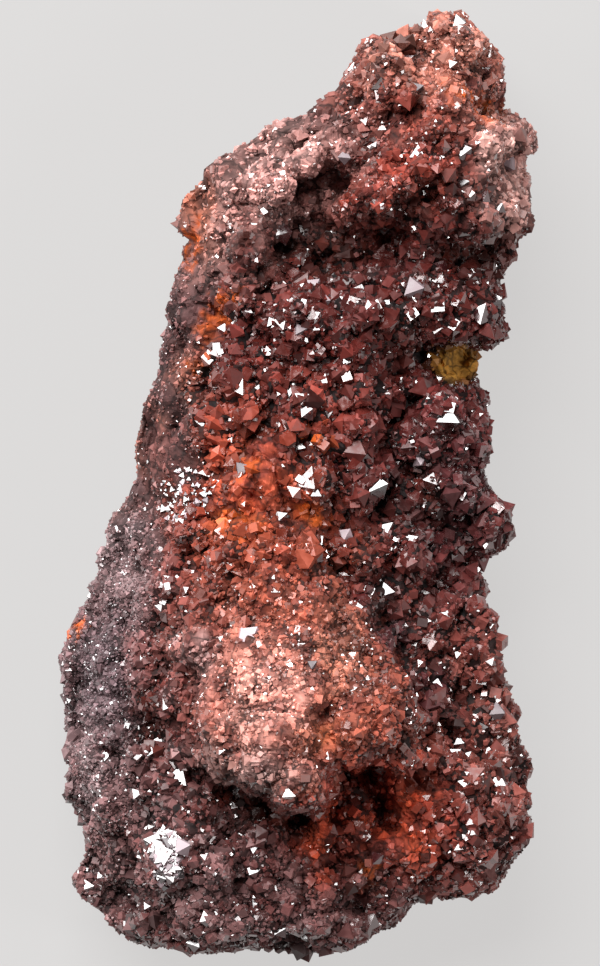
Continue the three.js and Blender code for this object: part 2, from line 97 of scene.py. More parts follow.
# Heights of the front, as x, y and z
landmarks = {
    "tip": [
        [7.5, 23.2, 9.8], [8.6, 21.9, 11.2], [9.7, 21.1, 8.2], [4.3, 21.8, 9.4], [4.7, 20.7, 11.2],
        [5.9, 22.4, 7.2], [6.5, 21.6, 7.4], [6.9, 20.8, 8.2], [8.1, 20.2, 9.6], [2.7, 19.7, 8.0],
        [5.2, 19.6, 11.4], [5.6, 18.3, 10.4], [7.7, 18.7, 12.2], [9.9, 18.8, 9.6],
    ],
    "shoulder": [
        [-2.5, 16.8, 6.5], [0.2, 16.7, 9.2], [2.5, 17.7, 9.6], [-4.8, 14.6, 6.2], [-2.8, 13.9, 9.4],
        [-0.8, 14.2, 11.6], [0.4, 16.0, 11.0], [2.9, 16.4, 11.6],
    ],
    "head": [
        [3.8, 17.2, 10.8], [6.7, 16.9, 13.0], [9.7, 16.6, 12.8], [11.2, 15.9, 10.0], [4.6, 15.6, 12.6],
        [5.4, 14.8, 14.2], [6.6, 15.3, 14.2], [6.0, 13.9, 12.2], [7.9, 14.4, 14.0], [10.7, 13.9, 10.8],
        [3.1, 14.0, 13.4], [4.2, 13.7, 13.4], [7.0, 12.9, 12.6], [9.0, 12.8, 12.8],
    ],
    "cavity_under_head": [
        [0.9, 15.0, 8.4], [2.1, 15.0, 7.8], [1.2, 14.0, 8.2], [0.2, 13.0, 8.2], [1.6, 12.7, 7.8],
        [3.0, 12.4, 7.4], [4.4, 12.3, 7.6], [-0.3, 11.9, 8.2], [1.7, 11.4, 8.2], [3.2, 11.2, 8.0],
        [4.7, 11.3, 8.8], [-0.2, 10.7, 8.6], [1.6, 10.2, 9.6], [3.2, 10.0, 10.0], [6.2, 11.6, 10.6],
        [7.6, 11.4, 9.2], [9.2, 11.6, 9.0],
    ],
    "upper_front": [
        [-5.5, 11.7, 6.0], [-4.0, 11.7, 9.8], [-2.2, 11.7, 12.0], [-1.4, 10.2, 10.4], [1.2, 9.5, 11.6],
        [6.7, 10.2, 12.0], [9.0, 10.2, 11.6], [10.3, 9.9, 9.0], [-4.5, 8.9, 9.8], [-2.5, 8.7, 11.8],
        [0.2, 8.4, 12.6], [2.7, 8.4, 12.2], [5.2, 9.2, 11.6], [7.7, 8.4, 11.8], [9.7, 8.0, 10.4],
    ],
    "ochre_notch": [[7.2, 6.2, 7.2], [8.6, 6.1, 5.6]],
    "middle": [
        [-6.4, 6.7, 6.2], [-5.0, 5.7, 9.8], [-3.3, 5.7, 11.8], [-0.3, 5.7, 12.0], [2.7, 5.7, 12.0],
        [5.2, 5.6, 9.8], [-7.5, 2.7, 5.4], [-6.3, 2.7, 8.4], [-4.8, 2.7, 11.6], [-2.8, 2.7, 12.0],
        [0.2, 2.7, 12.2], [3.2, 2.7, 11.4], [5.6, 3.4, 9.6], [4.8, 1.6, 9.8],
        [7.6, 3.0, 11.0], [8.8, 3.6, 9.4],
    ],
    "lower_front": [
        [-7.8, -0.3, 5.6], [-6.5, -0.3, 8.6], [-5.0, -0.3, 11.6], [-2.8, -0.3, 12.6], [0.2, -0.3, 12.2],
        [2.7, -0.3, 11.0], [5.2, -0.8, 9.6], [7.7, -0.8, 10.4], [9.6, -1.8, 9.0], [8.0, -2.5, 9.2],
    ],
    "waist": [
        [-8.8, -3.3, 5.4], [-7.5, -3.3, 8.8], [-5.5, -3.3, 12.0], [-2.8, -3.3, 13.6], [0.2, -3.3, 13.2],
        [2.7, -3.5, 11.2], [5.2, -3.9, 9.4], [7.5, -4.5, 7.4], [8.7, -4.3, 6.0],
    ],
    "boss": [
        [-4.4, -6.4, 13.6], [-1.8, -6.0, 14.4], [0.9, -6.2, 14.6], [2.6, -6.6, 14.0],
        [-4.4, -8.2, 14.6], [-2.0, -8.2, 15.5], [0.6, -8.2, 15.8], [2.8, -8.2, 15.0], [3.8, -8.6, 14.4],
        [-3.9, -10.2, 15.4], [-2.0, -10.2, 16.4], [0.4, -10.2, 16.4], [2.6, -10.0, 15.8],
        [4.8, -10.3, 15.0], [-3.9, -12.2, 16.2], [-1.8, -12.2, 17.2], [0.2, -12.2, 17.0],
        [1.4, -11.7, 15.2], [2.8, -12.2, 16.0], [4.4, -12.0, 15.4], [5.5, -11.6, 14.4],
        [5.2, -12.9, 14.0], [-3.5, -13.4, 16.2], [-1.8, -14.0, 17.4], [0.2, -14.3, 17.2],
        [-0.4, -14.9, 16.6], [0.8, -15.2, 16.4], [1.3, -13.4, 15.4], [2.8, -13.2, 15.2],
    ],
    "right_flank": [
        [3.2, -5.2, 11.0], [4.4, -6.6, 10.4], [5.6, -8.2, 9.8], [6.6, -10.6, 9.6], [6.7, -12.4, 9.8],
        [6.2, -6.4, 9.0], [8.4, -6.8, 7.8], [7.4, -9.0, 8.8], [8.9, -10.3, 8.0], [8.0, -12.6, 9.4],
        [10.2, -12.8, 8.2], [7.5, -14.8, 9.8], [9.7, -15.6, 9.6], [10.9, -16.6, 8.4], [9.2, -18.1, 9.2],
        [7.2, -19.3, 8.6],
    ],
    "left_flank": [
        [-10.3, -6.4, 5.8], [-8.8, -6.4, 9.0], [-6.8, -6.4, 12.0], [-11.1, -9.3, 5.8],
        [-9.6, -9.3, 9.4], [-7.3, -9.4, 11.0], [-5.4, -10.0, 12.2], [-11.3, -12.6, 5.8],
        [-9.6, -12.6, 9.6], [-7.5, -12.6, 10.2], [-5.4, -12.6, 11.2], [-10.9, -15.8, 5.8],
        [-9.4, -15.8, 9.2], [-7.3, -15.6, 11.0], [-5.0, -15.6, 11.2],
    ],
    "hollows_under_boss": [
        [-4.8, -14.7, 10.4], [-3.3, -15.4, 8.8], [-1.6, -16.1, 8.0], [0.2, -16.8, 8.2],
        [-1.6, -17.7, 9.2], [0.2, -18.0, 9.4], [2.5, -14.5, 8.2], [2.0, -15.8, 8.0], [3.7, -14.5, 7.8],
        [4.2, -15.8, 7.6], [2.9, -16.4, 9.4], [5.3, -15.2, 10.6], [6.3, -15.9, 10.4],
        [5.5, -16.5, 10.0], [4.4, -16.9, 7.8], [3.2, -17.4, 9.6], [4.6, -17.9, 10.2], [6.0, -18.4, 9.8],
        [1.1, -17.7, 10.0], [2.2, -18.5, 8.4], [3.5, -19.3, 10.2],
    ],
    "foot": [
        [-10.3, -18.8, 5.2], [-8.8, -18.6, 7.8], [-6.5, -18.4, 10.6], [-4.3, -18.9, 10.6],
        [-1.8, -19.2, 9.8], [0.7, -19.4, 10.2], [4.9, -19.6, 9.2], [-9.3, -20.8, 5.8],
        [-7.0, -21.4, 8.4], [-4.8, -21.4, 10.0], [-2.3, -21.4, 10.2], [0.7, -21.6, 9.8],
        [3.2, -21.1, 8.6], [5.7, -20.4, 7.0], [-5.3, -23.2, 7.6], [-2.5, -23.2, 8.0], [0.2, -23.0, 6.8],
    ],
}

# Places where the chunks stand out less: x, y, radius in x, radius in y and the share that is gone
calm_places = [
    (-0.6, -10.4, 5.4, 5.4, 0.75), (4.2, -16.4, 2.6, 2.4, 0.6), (4.6, 14.2, 2.6, 1.6, 0.5),
    (-7.2, 3.4, 1.6, 6.0, 0.6), (-9.6, -19.8, 2.2, 2.2, 0.7),
]


SCATTER_TURNS = (127.1, 311.7, 74.7)
SCATTER_SPREAD = 43758.5453
SEED_SHIFT_Y = 31
SEED_SHIFT_Z = 47
FACE_SHIFT = 7


def scatter(x, y, z):
    """A repeatable random number from 0 to 1 for each place."""
    turns = x * SCATTER_TURNS[0] + y * SCATTER_TURNS[1] + z * SCATTER_TURNS[2]
    spread = np.sin(turns) * SCATTER_SPREAD
    return spread - np.floor(spread)


def along(line, place):
    """The value of a line of [place, value] points at each place."""
    points = np.array(line)
    return np.interp(place, points[:, 0], points[:, 1])


def front_height(x, y):
    """Height of the front: the nearest landmarks count most, so it steps between them in ledges."""
    total = np.zeros_like(x)
    weights = np.zeros_like(x)
    for group in landmarks.values():
        for landmark_x, landmark_y, height in group:
            distance2 = (x - landmark_x) ** 2 + (y - landmark_y) ** 2 + LANDMARK_SOFTNESS**2
            weight = distance2 ** (-LANDMARK_PULL / 2)
            total += weight * height
            weights += weight
    return total / weights


def cells_nearby(points, cell):
    """The 27 cells round each point: their corner, and the way from the point to their seed."""
    scaled = points / cell
    corner = np.floor(scaled)
    for step in np.ndindex(3, 3, 3):
        x, y, z = (corner + step - 1).T
        seed_x = x + scatter(x, y, z)
        seed_y = y + scatter(x + SEED_SHIFT_Y, y, z)
        seed_z = z + scatter(x, y + SEED_SHIFT_Z, z)
        yield np.stack([x, y, z], -1), np.stack([seed_x, seed_y, seed_z], -1) - scaled


def squared(way):
    """The squared length of each way."""
    return way[:, 0] * way[:, 0] + way[:, 1] * way[:, 1] + way[:, 2] * way[:, 2]


def hollow(points, cell):
    """1 in the middle of a rounded cell, falling to 0 at its borders."""
    nearest = np.full(len(points), np.inf)
    for _, way in cells_nearby(points, cell):
        nearest = np.minimum(nearest, squared(way))
    return np.maximum(0, 1 - nearest)


def chunk(points, cell):
    """1 at the peak of an angular chunk, falling along flat faces to the cracks round it."""
    nearest = np.full(len(points), np.inf)
    home = np.zeros_like(points)
    apart = np.zeros_like(points)
    for corner, way in cells_nearby(points, cell):
        closer = squared(way) < nearest
        nearest = np.where(closer, squared(way), nearest)
        home = np.where(closer[:, None], corner, home)
        apart = np.where(closer[:, None], way, apart)
    reach = np.zeros(len(points))
    for face in range(CHUNK_FACES):
        shifts = [FACE_SHIFT * face + axis for axis in range(3)]
        facing = np.stack([scatter(home[:, 0] + shift, home[:, 1], home[:, 2]) for shift in shifts], -1)
        facing -= 0.5
        facing /= np.linalg.norm(facing, axis=1, keepdims=True)
        reach = np.maximum(reach, np.abs((facing * apart).sum(axis=1)))
    return np.maximum(0, 1 - CHUNK_STEEPNESS * reach)


def spot(points, x, y, radius_x, radius_y):
    """1 in the middle of a soft-edged spot of the front, falling to 0 outside it."""
    return np.exp(-(((points[:, 0] - x) / radius_x) ** 2 + ((points[:, 1] - y) / radius_y) ** 2))


def liveliness(points):
    """Share of their height that the chunks keep at each point."""
    return 1 - sum(share * spot(points, *place) for *place, share in calm_places)


def smooth_lump():
    """The lump without its chunks, as rings of points from the foot to the tip."""
    front = np.pi * np.arange(FRONT_STEPS) / FRONT_STEPS
    back = np.pi * (1 + np.arange(BACK_STEPS) / BACK_STEPS)
    turn, y = np.meshgrid(
        np.concatenate([front, back]),
        np.linspace(FOOT_Y + END_ROOM, TIP_Y - END_ROOM, RINGS + 1),
    )
    left = along(left_rim, y) + CRYSTAL_ROOM
    right = along(right_rim, y) - CRYSTAL_ROOM
    across = np.cos(turn)
    x = (left + right) / 2 + (right - left) / 2 * across
    rim = LEFT_RIM_HEIGHT + (RIGHT_RIM_HEIGHT - LEFT_RIM_HEIGHT) * (0.5 + across / 2)
    in_front = turn < np.pi
    curve = np.where(in_front, FRONT_WALL_CURVE, BACK_WALL_CURVE)
    rise = np.abs(np.sin(turn)) ** curve
    from_end = np.minimum(np.minimum((y - FOOT_Y), (TIP_Y - y)) / END_ROUNDING, 1)
    rounding = np.sqrt(1 - END_THINNING * (1 - from_end) ** 2)
    back_points = np.stack([x, y, np.full_like(x, BACK_HOLLOW_LEVEL)], -1).reshape(-1, 3)
    back_hollows = hollow(back_points, BACK_HOLLOW_WIDTH).reshape(x.shape)
    back_height = BACK_DEPTH + BACK_HOLLOWS * back_hollows
    level = np.where(in_front, front_height(x, y), back_height)
    z = rim + (level - rim) * rise * rounding
    return np.stack([x, y, z], -1)


def closed_mesh(name, rings):
    """A closed mesh from rings of points, with a fan of faces over the first and the last ring."""
    ring_count, round_steps = rings.shape[:2]
    ring = np.arange(ring_count - 1)[:, None] * round_steps
    step = np.arange(round_steps)[None, :]
    after = (step + 1) % round_steps
    faces = np.stack(
        [ring + step, ring + round_steps + step, ring + round_steps + after, ring + after], -1
    )
    ends = rings[[0, -1]].mean(axis=1)
    points = np.concatenate([rings.reshape(-1, 3), ends])
    foot_end = ring_count * round_steps
    tip_end = foot_end + 1
    last_ring = foot_end - round_steps
    foot_fan = [(foot_end, s, (s + 1) % round_steps) for s in range(round_steps)]
    tip_fan = [(tip_end, last_ring + (s + 1) % round_steps, last_ring + s) for s in range(round_steps)]
    mesh = bpy.data.meshes.new(name)
    mesh.from_pydata(points.tolist(), [], faces.reshape(-1, 4).tolist() + foot_fan + tip_fan)
    return mesh


def numbers(items, key, width):
    """One property of every vertex or face of a mesh, as an array."""
    found = np.zeros(len(items) * width)
    items.foreach_get(key, found)
    return found.reshape(-1, width)


lump_mesh = closed_mesh("lump", smooth_lump())
lump_points = numbers(lump_mesh.vertices, "co", 3)
lump_normals = numbers(lump_mesh.vertex_normals, "vector", 3)
peaks = [chunk(lump_points, cell) for cell, _ in CHUNKS]
raised = sum(height * (peak - CHUNK_LEVEL) for peak, (_, height) in zip(peaks, CHUNKS))
raised *= RIM_ROUGHNESS + (1 - RIM_ROUGHNESS) * lump_normals[:, 2] ** 2
raised *= liveliness(lump_points)
lump_points += lump_normals * raised[:, None]
lump_points[:, 2] = np.maximum(lump_points[:, 2], 0)
lump_mesh.vertices.foreach_set("co", (lump_points * MM).ravel())
lump_mesh.update()
lump_normals = numbers(lump_mesh.vertex_normals, "vector", 3)
lump = bpy.data.objects.new("lump", lump_mesh)
bpy.context.scene.collection.objects.link(lump)

# Stains on the lump, and painted light and shade
# Iron has stained the ore and the crystals alike: maroon where they are clean, rust and salmon on the
# high places, orange along cracks, mauve grey on the left side. Some spots are painted light and
# shade rather than stain: painted shade beside the boss and in places right of the middle, painted
# light on the right side of the head, on the top of the boss, in the hollow under the boss and on a
# patch of the middle. A stain is a colour and its soft-edged spots: x, y, radius in x, radius in y
# and how strong it is.
stains_and_painted_shading = {
    "dusty maroon of the right flank": ("#84483f", [(9.2, -11.8, 3.2, 8.0, 0.9)]),
    "dark purple brown of the right edge": ("#643032", [(8.2, -1.0, 3.2, 5.0, 0.7)]),
    # Lighter maroon: a patch in the middle painted light to stand in for its glints, and a spot on the
    # left
    "lighter maroon and painted light of the middle": ("#93453c", [
        (1.7, 4.2, 1.4, 1.4, 0.7), (-6.6, -7.8, 0.8, 1.8, 0.5),
    ]),
    # Nearly black places, with painted shade in the cavity under the head and in a shadowed band
    "nearly black places and painted shade right of the middle": ("#451d1c", [
        (6.0, -1.0, 2.2, 2.6, 0.8), (4.0, 10.6, 2.6, 1.0, 0.7), (2.8, 8.8, 1.4, 1.2, 0.5),
        (1.6, 0.1, 1.3, 0.9, 0.6), (8.2, -16.3, 1.5, 1.5, 0.6), (2.6, -3.6, 1.4, 0.9, 0.6),
    ]),
    "rust of the head": ("#83392c", [(6.8, 19.4, 5.2, 4.0, 0.85), (6.2, 14.4, 3.0, 1.2, 0.5)]),
    # Painted light: the right side of the head is painted pale where the lamp leaves it in shade
    "painted light on the right side of the head": ("#d3a096", [(10.8, 15.8, 1.7, 2.8, 0.95)]),
    "pale rust of the tip": ("#bd7a69", [
        (7.9, 22.0, 2.4, 2.6, 0.8), (4.7, 21.0, 2.2, 1.8, 0.6), (5.7, 21.8, 1.0, 1.0, 0.8),
    ]),
    "pinkish grey of the shoulder": ("#d09a92", [
        (-0.2, 15.7, 3.3, 2.4, 0.85), (-2.8, 13.4, 2.6, 2.6, 0.7),
    ]),
    "brick red slabs of the head": ("#8c3a2d", [
        (5.6, 15.4, 2.4, 0.8, 0.9), (3.7, 13.8, 2.0, 0.7, 0.9),
    ]),
    "orange rust of the middle": ("#ac4c33", [
        (-2.5, -0.8, 3.0, 3.6, 0.9), (-1.0, -3.8, 3.0, 1.8, 0.6),
    ]),
    "dark maroon beside the boss": ("#74403d", [(-6.4, -7.4, 2.2, 3.6, 0.8)]),
    "salmon of the boss": ("#a45642", [(-0.8, -9.0, 4.3, 4.8, 0.95), (3.6, -11.2, 2.0, 2.6, 0.5)]),
    # Painted light: the boss's salmon top is painted brighter where it faces the light
    "painted light on the top of the boss": ("#e69f90", [(-1.5, -10.4, 2.4, 2.6, 0.8)]),
    "orange brown of the boss": ("#b0603f", [
        (1.6, -12.1, 1.1, 0.7, 0.7), (0.4, -14.6, 0.9, 0.6, 0.5),
    ]),
    "mauve side of the boss": ("#a57f7b", [(-4.9, -8.8, 0.7, 1.7, 0.7)]),
    "salmon right side of the boss": ("#cc7f68", [
        (2.2, -8.2, 0.9, 1.8, 0.8), (0.5, -14.5, 0.9, 0.6, 0.7),
    ]),
    # Painted shade: the band beside the boss where its shadow falls is painted dark
    "painted shade beside the boss": ("#4a2426", [
        (4.1, -5.6, 1.0, 1.0, 0.9), (5.1, -7.3, 1.0, 1.0, 0.9), (6.7, -9.6, 0.7, 1.4, 0.8),
        (7.5, -12.0, 0.7, 1.8, 0.5),
    ]),
    "grey lip of the boss": ("#a58079", [(-2.0, -14.0, 2.8, 1.1, 0.7)]),
    "maroon of the right side of the foot": ("#8c4c44", [
        (4.4, -19.9, 1.6, 1.0, 0.8), (9.4, -19.4, 1.6, 0.9, 0.8),
    ]),
    "dark grey brown of the foot": ("#785453", [
        (-2.2, -20.2, 8.0, 3.6, 0.95), (-7.6, -15.8, 2.6, 3.0, 0.8),
    ]),
    "dark grey of the lower left": ("#6b565a", [(-9.8, -9.6, 2.4, 4.6, 0.7)]),
    "mauve grey of the left edge": ("#8a6f70", [
        (-8.8, -3.6, 1.6, 2.4, 0.8), (-10.6, -14.4, 1.0, 3.0, 0.7),
    ]),
    # Red of the hollow, painted lighter as painted light against the boss's shade
    "red and painted light of the hollow under the boss": ("#b24a38", [
        (4.6, -16.4, 3.2, 2.8, 0.9), (1.2, -17.4, 1.2, 2.0, 0.5),
    ]),
    "brown flat face under the shoulder": ("#45201b", [(-2.0, 11.7, 1.1, 1.3, 0.9)]),
    # Brick red lumps, painted lighter as painted light where the boss shades them
    "brick red lumps in the hollow with painted light": ("#d65a3a", [
        (5.7, -15.5, 1.1, 1.1, 0.9), (2.7, -16.4, 0.6, 0.5, 0.9), (4.0, -17.5, 1.3, 0.7, 0.9),
        (5.8, -18.3, 1.0, 0.7, 0.8), (1.0, -17.8, 0.7, 1.1, 0.8),
    ]),
    "orange left corner": ("#b06a56", [
        (-5.0, 13.8, 1.4, 1.8, 0.9), (-8.0, 2.2, 0.7, 2.0, 0.5), (-4.9, 5.3, 0.9, 1.2, 0.6),
    ]),
}

# Bright orange places, deep recesses painted dark as painted shade, places of earthy ore where hardly
# any crystals grew and places of flat-topped blocks, all as x, y, radius in x and radius in y
vivid_places = [
    (-4.4, 7.9, 0.6, 0.8), (-3.9, 8.5, 0.5, 0.6), (-3.4, 9.0, 0.5, 0.8), (-2.6, 0.9, 0.8, 0.6),
    (0.95, 2.2, 0.8, 0.3), (-3.0, -1.8, 1.5, 0.8), (0.7, -1.6, 0.8, 0.6), (3.5, -19.3, 0.6, 1.0),
    (8.4, 19.3, 1.2, 0.5), (9.6, 18.6, 0.8, 0.9), (-5.3, 12.0, 0.3, 1.2), (-11.0, -7.3, 0.4, 0.5),
    (-5.0, 5.7, 0.5, 0.4),
]
recesses = [
    (8.6, 20.3, 0.7, 0.4), (4.3, 19.2, 0.9, 0.3), (5.0, 17.9, 0.8, 0.6), (2.9, 17.1, 0.5, 0.4),
    (7.0, 16.7, 0.6, 0.4), (8.4, 14.1, 1.6, 0.4), (3.9, 16.5, 1.1, 0.6), (2.4, 14.7, 0.8, 0.8),
    (1.6, 12.0, 2.8, 0.8), (1.2, 10.9, 2.8, 0.8), (8.6, 11.5, 1.9, 0.6), (5.9, 13.4, 0.9, 0.5),
    (-3.0, -15.7, 2.0, 0.8), (-0.8, -16.5, 1.9, 0.8), (3.2, -15.3, 0.8, 0.6), (4.2, -16.5, 0.7, 0.6),
    (5.3, 7.2, 0.8, 1.4), (6.4, -0.4, 0.7, 1.2), (-7.2, -11.6, 0.7, 2.4), (4.3, -6.0, 0.8, 1.4),
]
earthy_places = [
    (-4.3, 8.0, 0.6, 0.9), (-3.6, 8.9, 0.5, 0.8), (-2.2, -0.4, 1.8, 1.3), (0.6, -1.5, 0.9, 0.7),
    (-1.6, 1.6, 1.0, 0.8), (1.3, -11.8, 0.8, 0.9), (5.7, -15.6, 1.2, 1.2), (4.2, -17.6, 1.4, 0.6),
    (1.0, -17.8, 0.7, 1.2), (3.5, -19.3, 0.6, 1.0), (8.9, 19.1, 1.3, 0.5), (-5.2, 12.6, 0.4, 1.6),
    (-7.2, 2.0, 0.6, 1.2), (5.6, 18.2, 1.2, 0.5), (-2.0, 11.8, 0.7, 0.9),
]
slab_places = [
    (6.4, 16.6, 5.6, 6.0), (-0.6, -10.2, 4.4, 4.4), (-4.9, -9.8, 1.0, 3.0), (-2.2, -1.6, 2.4, 2.4),
    (-2.0, 11.7, 1.6, 1.4),
]
ochre_place = (8.0, 6.0, 1.3, 1.0)

# The ridge between the front and the left side, as y and x
ridge = [
    [-19.8, -8.5], [-15.8, -7.8], [-10.8, -7.3], [-6.8, -7.2], [-3.8, -6.4], [-0.8, -5.4], [2.2, -5.0],
    [5.2, -4.8], [8.2, -4.6], [10.7, -4.0], [12.7, -3.4], [14.7, -2.4], [16.2, 0.2], [18.2, 2.4],
]


def linear(colour):
    """A hexadecimal colour as linear red, green and blue."""
    shares = np.array([int(colour[i : i + 2], 16) for i in (1, 3, 5)]) / 255
    return np.where(shares <= 0.04045, shares / 12.92, ((shares + 0.055) / 1.055) ** 2.4)


def mottle(points, cell, seed):
    """Soft noise from 0 to 1, with blotches as wide as the cell."""
    scaled = points / cell + seed
    corner = np.floor(scaled)
    share = scaled - corner
    share = share * share * (3 - 2 * share)
    total = np.zeros(len(points))
    for i in (0, 1):
        for j in (0, 1):
            for k in (0, 1):
                weight = np.ones(len(points))
                for axis, side in enumerate((i, j, k)):
                    weight *= share[:, axis] if side else 1 - share[:, axis]
                total += weight * scatter(corner[:, 0] + i, corner[:, 1] + j, corner[:, 2] + k)
    return total


def wandered(points, most, cell, seeds):
    """Points moved about by soft noise, so that what is painted at them gets a ragged edge."""
    return points + most * np.stack([mottle(points, cell, seed) - 0.5 for seed in seeds], -1)


def painted(colour, amount):
    """The colours of the lump with one more laid over them, as strongly as the amount says."""
    return tone_and_painted_shading + (linear(colour) - tone_and_painted_shading) * np.clip(amount, 0, 1)[:, None]


DUSTY_MAROON = "#5d221d"
LEFT_FACE_GREY = "#6e4b4a"
LEFT_FACE_STRENGTH = 0.9
RIDGE_WIDTH = 1.2
SPOT_STRENGTH = 1.5
ragged_points = wandered(lump_points, most=2.2, cell=1.6, seeds=(3.0, 9.0, 17.0))
from_ridge = ragged_points[:, 0] - along(ridge, ragged_points[:, 1])
left_share = np.clip(0.5 - from_ridge / RIDGE_WIDTH, 0, 1)
tone_and_painted_shading = np.tile(linear(DUSTY_MAROON), (len(lump_points), 1))
tone_and_painted_shading = painted(LEFT_FACE_GREY, left_share * LEFT_FACE_STRENGTH)
for colour, spots in stains_and_painted_shading.values():
    for *place, strength in spots:
        tone_and_painted_shading = painted(colour, strength * SPOT_STRENGTH * spot(ragged_points, *place))

# The bright orange and the ochre fade out low on the sides, so that they don't run down them
VIVID_ORANGE = "#cc5c1e"
VIVID_STRENGTH = 1.6
VIVID_EDGE = 0.4
VIVID_LOW = 1.5
VIVID_HIGH = 4.0
# Dark brown painted into the recesses, as painted shade
PAINTED_RECESS_SHADE = "#4e211a"
RECESS_STRENGTH = 2.2
RECESS_EDGE = 0.6
flecked_points = wandered(lump_points, most=1.5, cell=0.45, seeds=(5.0, 11.0, 19.0))
not_low = np.clip((flecked_points[:, 2] - VIVID_LOW) / (VIVID_HIGH - VIVID_LOW), 0, 1)
for place in vivid_places:
    tone_and_painted_shading = painted(VIVID_ORANGE, not_low * (VIVID_STRENGTH * spot(flecked_points, *place) - VIVID_EDGE))
# Painted shade in the recesses, with a ragged edge
for place in recesses:
    tone_and_painted_shading = painted(PAINTED_RECESS_SHADE, RECESS_STRENGTH * spot(flecked_points, *place) - RECESS_EDGE)

SPECKLE_BROWN = "#56201c"
SPECKLE_CONTRAST = 4.0
SPECKLE_MOST = 0.65
SPECKLE_WIDTH = 0.6
SPECKLE_SEED = 23.0
WIDE_BLOCK_SHARE = 0.6
NARROW_BLOCK_SHARE = 0.4
CRACK_EDGE = 0.5
PAINTED_CRACK_SHADE = 0.75
OCHRE = "#cf9540"
OCHRE_STRENGTH = 3.0
OCHRE_EDGE = 0.9
speckle = SPECKLE_CONTRAST * (mottle(lump_points, SPECKLE_WIDTH, SPECKLE_SEED) - 0.5)
tone_and_painted_shading = painted(SPECKLE_BROWN, np.clip(speckle, 0, SPECKLE_MOST) * (1 - left_share))
block_height = WIDE_BLOCK_SHARE * peaks[1] + NARROW_BLOCK_SHARE * peaks[2]
# Painted shade: the cracks between the chunks of the ore, and the crystals there, are painted darker
crack_shade = np.clip((CRACK_EDGE - block_height) / CRACK_EDGE, 0, 1)
tone_and_painted_shading = tone_and_painted_shading * (1 - PAINTED_CRACK_SHADE * crack_shade[:, None])
in_ochre = not_low * spot(lump_points, *ochre_place)
tone_and_painted_shading = painted(OCHRE, OCHRE_STRENGTH * in_ochre - OCHRE_EDGE)

# Places of the large crystals
# Single octahedra that grew past the rest on the front, as x, y, edge and how far the brightest face
# is turned in degrees. The clean ones flash, and the others are painted a pale lavender grey as a
# painted sheen on the face turned to the lamp.
clean_giants = [
    (7.5, 3.3, 1.2, 0), (-0.3, 4.7, 0.85, 180), (4.0, 0.0, 1.0, 25), (-0.1, 1.9, 1.1, 12),
    (0.5, 3.6, 0.7, 40), (1.6, 3.5, 0.65, 180), (0.4, 7.2, 0.7, 100), (1.0, 8.3, 0.5, 60),
    (3.2, 5.8, 0.6, 30), (1.0, -0.5, 0.6, 0), (1.9, 0.8, 0.5, 90), (7.1, 10.8, 0.7, 75),
    (9.9, 9.2, 0.7, 150), (9.0, 8.4, 1.0, 200), (3.6, 8.7, 0.6, 130), (9.1, -1.4, 0.9, 60),
    (-3.6, 7.7, 0.6, 330), (-2.4, 8.6, 0.65, 110), (-4.7, 3.1, 0.75, 80), (6.9, -9.9, 0.95, 0),
    (4.5, -5.3, 0.75, 20), (0.9, -3.5, 0.8, 180), (-5.8, -14.6, 1.15, 350), (-6.8, -12.8, 0.6, 95),
    (-9.4, -13.4, 0.8, 50), (8.2, -12.8, 0.65, 10), (10.1, -14.9, 0.9, 120), (4.5, -2.2, 0.6, 70),
    (-0.8, -1.6, 0.7, 45), (-0.7, 12.6, 0.95, 15), (3.8, 16.6, 0.55, 85), (6.0, 16.2, 0.8, 0),
    (8.2, 16.4, 0.85, 160), (8.1, 14.8, 0.85, 35), (9.2, 14.2, 0.65, 190), (10.0, 13.7, 0.6, 65),
    (6.5, 22.9, 0.65, 140), (8.1, 22.9, 0.7, 20), (5.5, 21.1, 0.7, 55), (-2.1, -18.0, 0.65, 180),
    (-0.8, -22.1, 0.7, 30), (-5.0, -22.8, 0.7, 100), (-4.5, -21.5, 0.65, 10), (4.0, -18.5, 0.7, 165),
]
# Crystals painted a pale lavender grey, as a painted sheen on the face turned to the lamp
sheen_giants = [
    (6.2, 1.3, 0.8, 180), (5.8, 9.7, 1.0, 20), (1.4, 9.1, 0.6, 10), (0.9, 9.9, 0.7, 70),
    (-2.6, 0.7, 0.8, 45), (10.0, -11.3, 0.8, 5), (2.4, -2.5, 0.7, 190),
    (-2.5, -7.5, 1.0, 20), (-2.2, -7.3, 0.9, 75), (0.8, -8.8, 0.5, 60),
    (2.4, 16.2, 0.7, 115), (6.0, 19.6, 0.6, 40), (10.6, 15.9, 0.8, 90), (0.2, 7.6, 0.6, 150),
]

# Glittering patches, as x, y, radius, how many crystals there are, their smallest and largest edge
glittering = [
    (-5.5, -0.7, 1.4, 80, 0.12, 0.36), (-6.4, -18.0, 0.8, 110, 0.3, 0.8),
    (-6.3, -19.3, 0.6, 40, 0.3, 0.6),
]

# Grain of the crystals
# How coarse the crystals grew and how closely they stand: fine on the left side, the shoulder and
# the boss, coarse in the middle, few on earthy ore, none on bare ochre ore or close to the floor.
COMMON_EDGE = 0.68
LEFT_EDGE = 0.3
BACK_EDGE = 0.85
HEAD_EDGE = 0.45
HEAD_BLEND_LOW = 12
HEAD_BLEND_HEIGHT = 5
BACK_SLOPE = -0.1
BACK_TOP = 5
LOWEST_CRYSTAL = 0.9
FLOOR_EDGE_SHARE = 0.22

